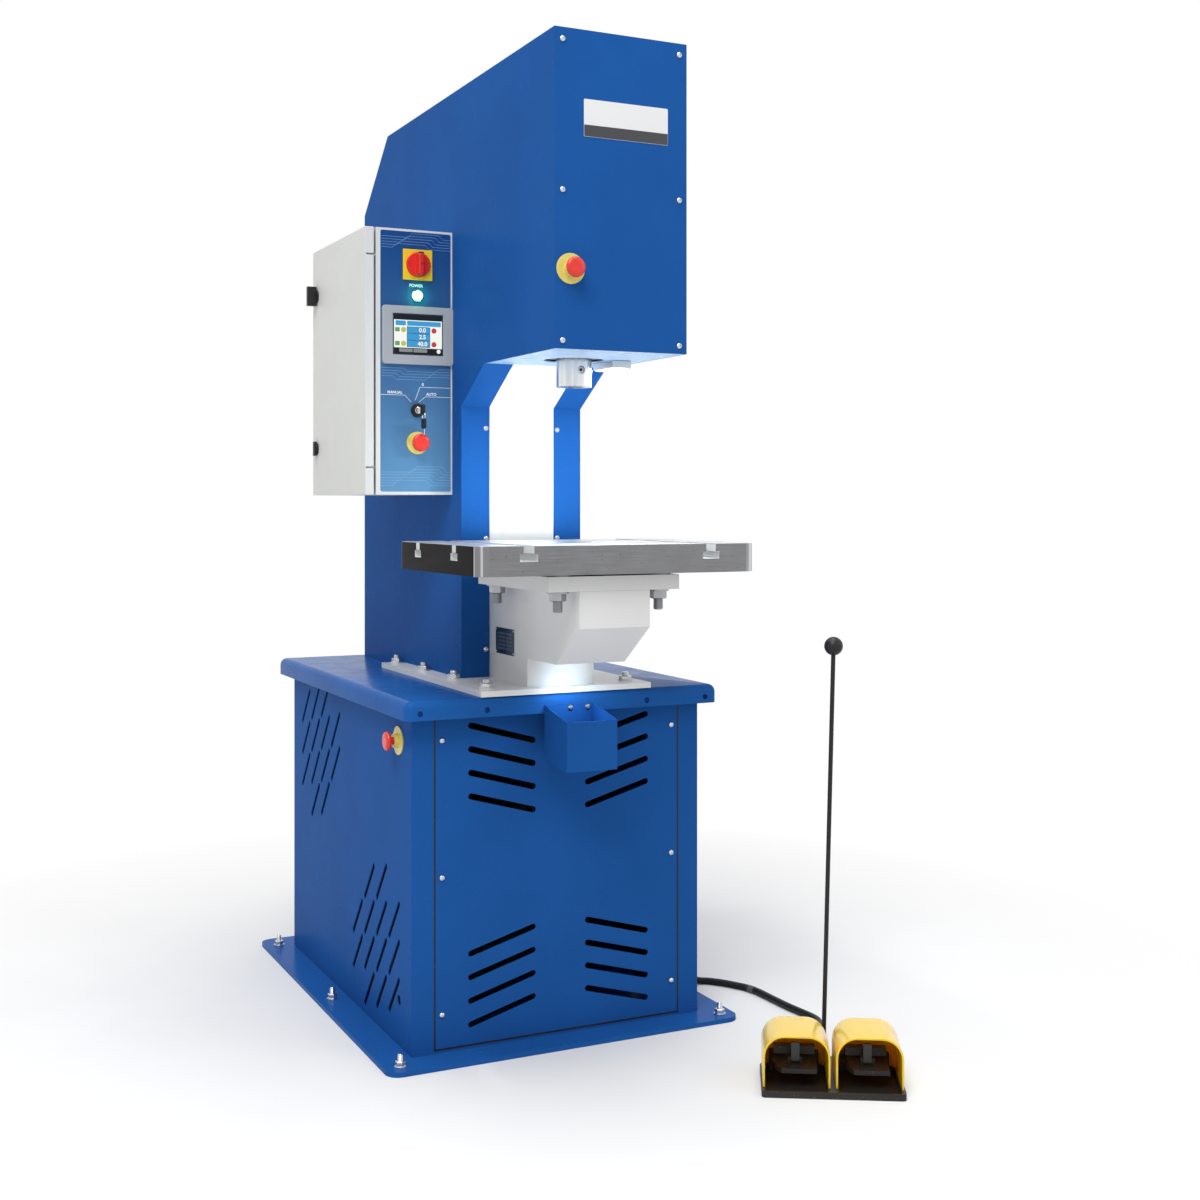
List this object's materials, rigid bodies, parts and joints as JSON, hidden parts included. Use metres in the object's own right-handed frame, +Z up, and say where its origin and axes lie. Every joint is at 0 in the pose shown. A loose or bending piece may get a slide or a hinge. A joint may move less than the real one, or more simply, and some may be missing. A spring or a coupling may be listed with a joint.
{
  "type": "hydraulic workshop press",
  "caption": "Floor-standing hydraulic C-frame press with a slotted table, control cabinet, emergency stops and a hooded double foot switch on a conduit.",
  "frame": {"origin": "centre of the base plate's underside on the floor", "axes": "+X to the right of a person who faces the press, +Y to the back, +Z up"},
  "size_m": [0.9571, 1.5977, 2.0601],
  "materials": {
    "blue_paint": "glossy powder coat with a fine texture",
    "white_paint": "satin paint",
    "grey_paint": "fine textured powder coat",
    "milled_steel": "milled and turned",
    "zinc": "bright zinc",
    "lamp_metal": "satin",
    "grey_plastic": "moulded",
    "light_plastic": "moulded",
    "black_plastic": "moulded",
    "yellow_plastic": "glossy",
    "red_plastic": "glossy",
    "green_lens": "lit lens",
    "black_hose": "matte",
    "dark_paint": "satin paint",
    "cast_parts": "machined casting"
  },
  "bodies": {
    "machine": {"base_plate": "blue_paint", "base_cabinet": "blue_paint", "front_panel": "blue_paint", "rear_panel": "blue_paint", "tray_top": "blue_paint", "catch_box": "blue_paint", "left_cover": "blue_paint", "right_cover": "blue_paint", "rear_cover": "blue_paint", "head_front_cover": "blue_paint", "head_bottom_cover": "blue_paint", "foot_flange": "white_paint", "frame_left_plate": "white_paint", "frame_right_plate": "white_paint", "frame_webs": "white_paint", "bed_nose": "white_paint", "drop_deflector": "white_paint", "bed_flange": "white_paint", "cylinder_block": "white_paint", "cabinet_box": "grey_paint", "table": "milled_steel", "cylinder_gland": "milled_steel", "cylinder_barrel": "milled_steel", "levelling_bolts": "zinc", "frame_fasteners": "zinc", "table_studs": "zinc", "pressure_pipes": "zinc", "work_lamp": "lamp_metal", "hmi_panel": "grey_plastic", "control_gear": "light_plastic", "key_switch_body": "black_plastic", "footswitch_base": "black_plastic", "footswitch_rod": "black_plastic", "cable_glands": "black_plastic", "main_switch_plate": "yellow_plastic", "estop_bases": "yellow_plastic", "footswitch_hoods": "yellow_plastic", "power_lamp": "green_lens", "foot_conduit": "black_hose", "foot_cable": "black_hose", "oil_tank": "dark_paint", "pump_motor": "dark_paint", "gear_pump": "cast_parts", "valve_block": "cast_parts"},
    "ram": {"ram": "milled_steel", "ram_piston": "milled_steel"},
    "cabinet_door": {"cabinet_door": "grey_paint"},
    "upper_latch": {"upper_latch": "black_plastic"},
    "lower_latch": {"lower_latch": "black_plastic"},
    "main_switch_knob": {"main_switch_knob": "red_plastic"},
    "switch_key": {"switch_key": "black_plastic"},
    "head_estop": {"head_estop_cap": "red_plastic"},
    "panel_estop": {"panel_estop_cap": "red_plastic"},
    "left_estop": {"left_estop_cap": "red_plastic"},
    "right_estop": {"right_estop_cap": "red_plastic"},
    "left_pedal": {"left_pedal": "black_plastic"},
    "right_pedal": {"right_pedal": "black_plastic"},
    "left_pedal_latch": {"left_pedal_latch": "grey_plastic"},
    "right_pedal_latch": {"right_pedal_latch": "grey_plastic"},
    "motor_rotor": {"motor_rotor": "milled_steel"}
  },
  "joints": [
    {"name": "ram_slide", "type": "slide", "parent": "machine", "child": "ram", "axis": [0, 0, -1], "range_m": [0, 0.25]},
    {"name": "door_hinge", "type": "hinge", "parent": "machine", "child": "cabinet_door", "pos_m": [-0.3377, -0.1816, 1.453], "axis": [0, 0, 1], "range_deg": [0, 100]},
    {"name": "upper_latch_turn", "type": "hinge", "parent": "cabinet_door", "child": "upper_latch", "pos_m": [-0.3473, 0.19, 1.637], "axis": [-1, 0, 0], "range_deg": [0, 90]},
    {"name": "lower_latch_turn", "type": "hinge", "parent": "cabinet_door", "child": "lower_latch", "pos_m": [-0.3473, 0.19, 1.271], "axis": [-1, 0, 0], "range_deg": [0, 90]},
    {"name": "main_switch_turn", "type": "hinge", "parent": "machine", "child": "main_switch_knob", "pos_m": [-0.228, -0.1966, 1.669], "axis": [0, 1, 0], "range_deg": [0, 90]},
    {"name": "key_turn", "type": "hinge", "parent": "machine", "child": "switch_key", "pos_m": [-0.228, -0.1916, 1.346], "axis": [0, 1, 0], "range_deg": [-45, 45]},
    {"name": "head_estop_push", "type": "slide", "parent": "machine", "child": "head_estop", "axis": [0, 1, 0], "range_m": [0, 0.006]},
    {"name": "panel_estop_push", "type": "slide", "parent": "machine", "child": "panel_estop", "axis": [0, 1, 0], "range_m": [0, 0.006]},
    {"name": "left_estop_push", "type": "slide", "parent": "machine", "child": "left_estop", "axis": [1, 0, 0], "range_m": [0, 0.006]},
    {"name": "right_estop_push", "type": "slide", "parent": "machine", "child": "right_estop", "axis": [-1, 0, 0], "range_m": [0, 0.006]},
    {"name": "left_pedal_press", "type": "hinge", "parent": "machine", "child": "left_pedal", "pos_m": [0.34022, -0.83956, 0.034], "axis": [0.8634, -0.5045, 0], "range_deg": [0, 12], "stiffness_Nm_per_rad": 2, "springref_deg": -11.46},
    {"name": "left_pedal_latch_tilt", "type": "hinge", "parent": "left_pedal", "child": "left_pedal_latch", "pos_m": [0.30591, -0.89828, 0.05], "axis": [-0.8634, 0.5045, 0], "range_deg": [0, 15], "stiffness_Nm_per_rad": 0.05, "springref_deg": -11.46},
    {"name": "right_pedal_press", "type": "hinge", "parent": "machine", "child": "right_pedal", "pos_m": [0.46131, -0.91032, 0.034], "axis": [0.8634, -0.5045, 0], "range_deg": [0, 12], "stiffness_Nm_per_rad": 2, "springref_deg": -11.46},
    {"name": "right_pedal_latch_tilt", "type": "hinge", "parent": "right_pedal", "child": "right_pedal_latch", "pos_m": [0.427, -0.96904, 0.05], "axis": [-0.8634, 0.5045, 0], "range_deg": [0, 15], "stiffness_Nm_per_rad": 0.05, "springref_deg": -11.46},
    {"name": "motor_spin", "type": "hinge", "parent": "machine", "child": "motor_rotor", "pos_m": [0.18, 0.15, 0.4], "axis": [0, 0, 1], "continuous": true}
  ]
}
